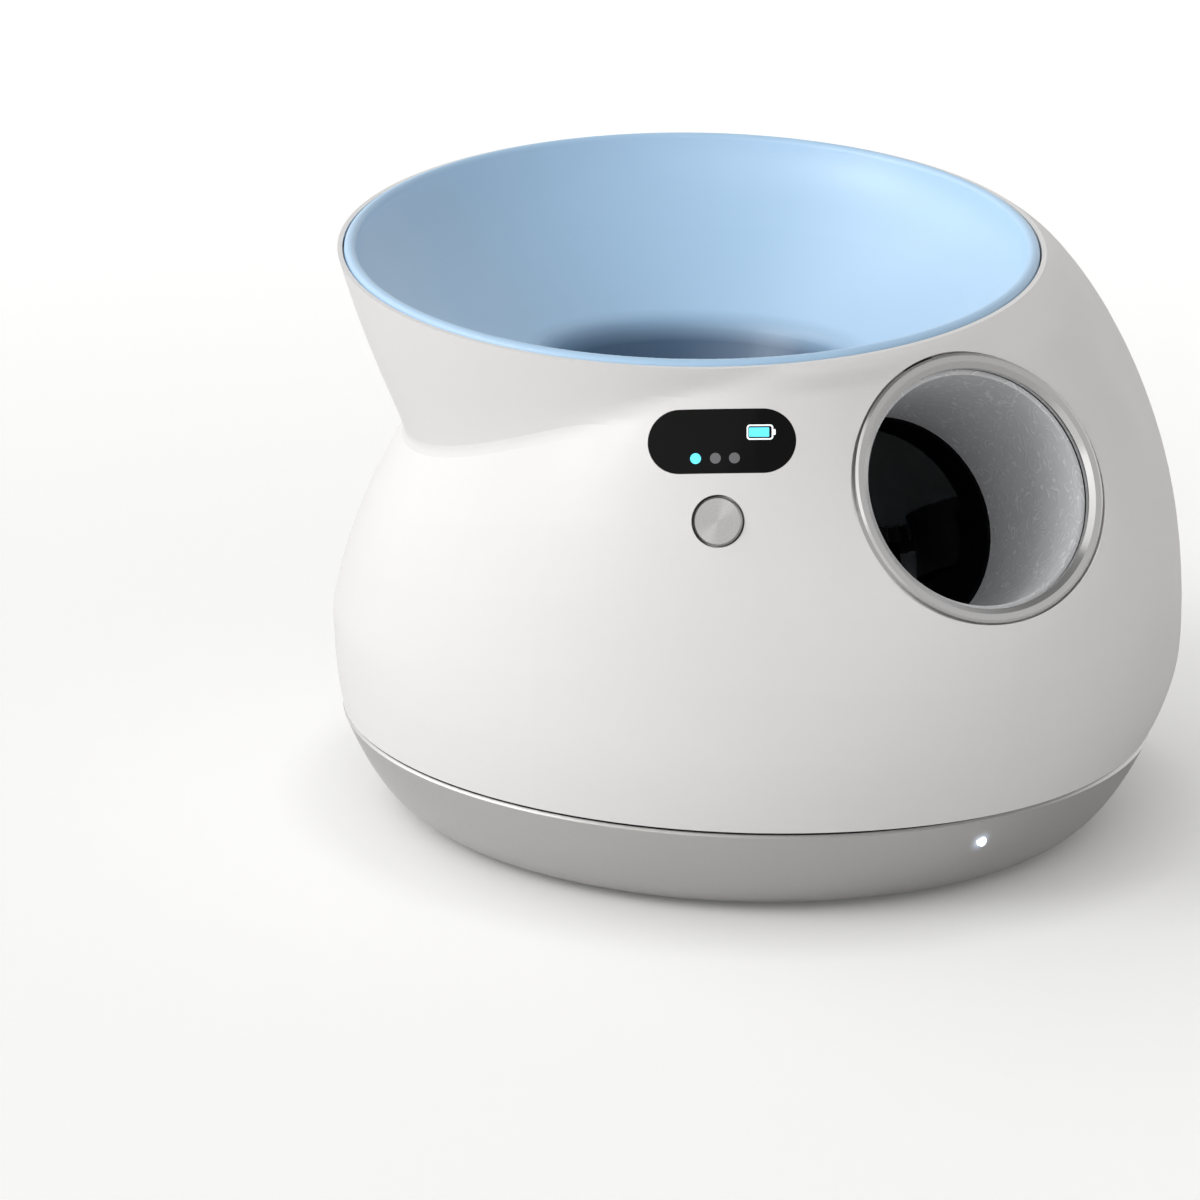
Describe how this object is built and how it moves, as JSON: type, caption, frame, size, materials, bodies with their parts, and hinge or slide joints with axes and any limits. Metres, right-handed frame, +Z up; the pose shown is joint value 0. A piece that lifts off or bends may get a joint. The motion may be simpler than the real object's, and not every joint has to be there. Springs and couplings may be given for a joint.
{
  "type": "automatic dog ball launcher",
  "caption": "Egg-shaped desktop ball launcher: leaning round hopper on top, angled round launch port at the front right, capsule display and button, metal base band.",
  "frame": {"origin": "centre of the round base, on the floor, on the middle rubber foot", "axes": "+Z up, front with display towards -Y, launch port towards +X and -Y"},
  "size_m": [0.2102, 0.2105, 0.1526],
  "materials": {
    "shell_plastic": "satin warm-white moulded shell",
    "hopper_plastic": "light sky-blue satin plastic",
    "satin_aluminium": "satin, bright top edge",
    "polished_aluminium": "turned and polished ring",
    "barrel_plastic": "silver-grey with an embossed texture",
    "button_metal": "circular brushed with a bright chamfer",
    "display_glass": "black gloss window",
    "light_pipe": "clear light pipe, lit white",
    "dark_rubber": "matt black",
    "tyre_rubber": "dark tyre rubber",
    "dark_plastic": "black moulded plastic",
    "mechanism_plastic": "dark grey moulded plastic",
    "gear_plastic": "natural acetal",
    "motor_steel": "plated motor can",
    "zinc_steel": "zinc plated",
    "bronze": "sintered bronze",
    "cell_wrap": "shrink-wrapped lithium cell",
    "board_green": "solder-masked board"
  },
  "bodies": {
    "body": {"body_shell": "shell_plastic", "hopper_liner": "hopper_plastic", "seam_gasket": "dark_rubber", "base_band": "satin_aluminium", "status_light": "light_pipe", "base_plate": "dark_plastic", "rubber_feet": "dark_rubber", "base_screws": "zinc_steel", "chassis": "dark_plastic", "shell_screws": "zinc_steel", "port_ring": "polished_aluminium", "launch_barrel": "barrel_plastic", "launch_deck": "mechanism_plastic", "deck_screws": "zinc_steel", "wheel_bushes": "bronze", "motor_screws": "zinc_steel", "feed_tube": "hopper_plastic", "ball_sensors": "dark_plastic", "kicker_pin": "zinc_steel", "kicker_clip": "zinc_steel", "feed_motor": "motor_steel", "display_window": "display_glass", "display_module": "dark_plastic", "control_board": "board_green", "control_screws": "zinc_steel", "button_switch": "dark_plastic", "battery_cells": "cell_wrap", "battery_strap": "dark_plastic", "strap_screws": "zinc_steel", "main_board": "board_green", "board_parts": "dark_plastic", "board_screws": "zinc_steel", "charging_socket": "dark_plastic", "socket_nut": "zinc_steel", "left_motor": "motor_steel", "right_motor": "motor_steel"},
    "left_flywheel": {"left_flywheel_hub": "gear_plastic", "left_flywheel_tyre": "tyre_rubber", "left_motor_shaft": "zinc_steel"},
    "right_flywheel": {"right_flywheel_hub": "gear_plastic", "right_flywheel_tyre": "tyre_rubber", "right_motor_shaft": "zinc_steel"},
    "kicker": {"kicker_arm": "mechanism_plastic", "kicker_gear": "gear_plastic"},
    "feed_pinion": {"feed_pinion": "bronze", "feed_shaft": "zinc_steel"},
    "power_button": {"power_button": "button_metal", "switch_plunger": "dark_plastic"}
  },
  "joints": [
    {"name": "right_flywheel_spin", "type": "hinge", "parent": "body", "child": "right_flywheel", "pos_m": [0.06338, -0.00121, 0.06822], "axis": [-0.1783, 0.4005, 0.8988], "continuous": true},
    {"name": "left_flywheel_spin", "type": "hinge", "parent": "body", "child": "left_flywheel", "pos_m": [-0.02249, -0.03944, 0.06822], "axis": [-0.1783, 0.4005, 0.8988], "continuous": true},
    {"name": "kicker_swing", "type": "hinge", "parent": "body", "child": "kicker", "pos_m": [0.03725, 0.0452, 0.04236], "axis": [-0.1783, 0.4005, 0.8988], "range_deg": [0, 28]},
    {"name": "feed_pinion_spin", "type": "hinge", "parent": "body", "child": "feed_pinion", "pos_m": [0.05643, 0.05374, 0.04236], "axis": [-0.1783, 0.4005, 0.8988], "range_deg": [-70, 0]},
    {"name": "power_button_press", "type": "slide", "parent": "body", "child": "power_button", "axis": [0.1559, 0.9414, -0.299], "range_m": [0, 0.0008], "stiffness_N_per_m": 600}
  ],
  "couplings": [
    {"joint": "left_flywheel_spin", "follows": "right_flywheel_spin", "ratio": -1},
    {"joint": "feed_pinion_spin", "follows": "kicker_swing", "ratio": -2.5}
  ]
}
